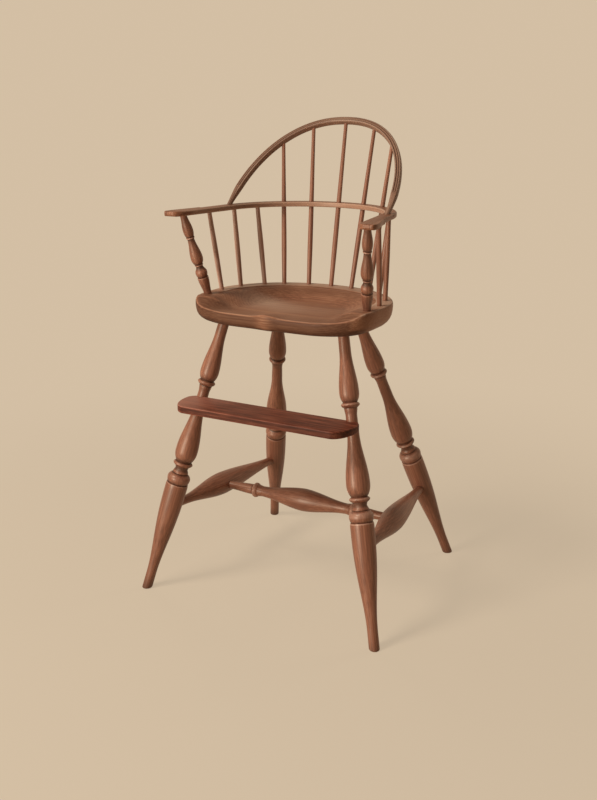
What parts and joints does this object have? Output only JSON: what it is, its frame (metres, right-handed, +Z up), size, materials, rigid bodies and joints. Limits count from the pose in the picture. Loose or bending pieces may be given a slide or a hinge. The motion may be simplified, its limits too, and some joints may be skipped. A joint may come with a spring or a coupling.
{
  "type": "high chair",
  "caption": "Windsor high chair with raked turned legs, bulbed stretchers, a coped footrest, a saddled seat, a bent arm rail and a spindle bow back.",
  "frame": {"origin": "on the floor, under the middle of the box that holds the chair", "axes": "+Z up, -Y the way the sitter faces, x = 0 the mirror plane"},
  "size_m": [0.515, 0.4625, 0.8939],
  "materials": {
    "turned_wood": "satin, red-brown stain",
    "plank_wood": "satin, red-brown stain",
    "bent_wood": "satin, red-brown stain"
  },
  "bodies": {
    "root": {"seat": "plank_wood", "footrest": "plank_wood", "arm_rail": "bent_wood", "left_hand_block": "bent_wood", "right_hand_block": "bent_wood", "bow": "bent_wood", "front_left_leg": "turned_wood", "front_right_leg": "turned_wood", "rear_left_leg": "turned_wood", "rear_right_leg": "turned_wood", "left_side_stretcher": "turned_wood", "right_side_stretcher": "turned_wood", "centre_stretcher": "turned_wood", "footrest_dowel_left": "turned_wood", "footrest_dowel_right": "turned_wood", "left_arm_post": "turned_wood", "right_arm_post": "turned_wood", "bow_pin_left": "turned_wood", "bow_pin_right": "turned_wood", "left_front_spindle": "turned_wood", "left_middle_spindle": "turned_wood", "left_rear_spindle": "turned_wood", "right_front_spindle": "turned_wood", "right_middle_spindle": "turned_wood", "right_rear_spindle": "turned_wood", "centre_long_spindle": "turned_wood", "left_inner_long_spindle": "turned_wood", "left_outer_long_spindle": "turned_wood", "right_inner_long_spindle": "turned_wood", "right_outer_long_spindle": "turned_wood"}
  },
  "joints": []
}
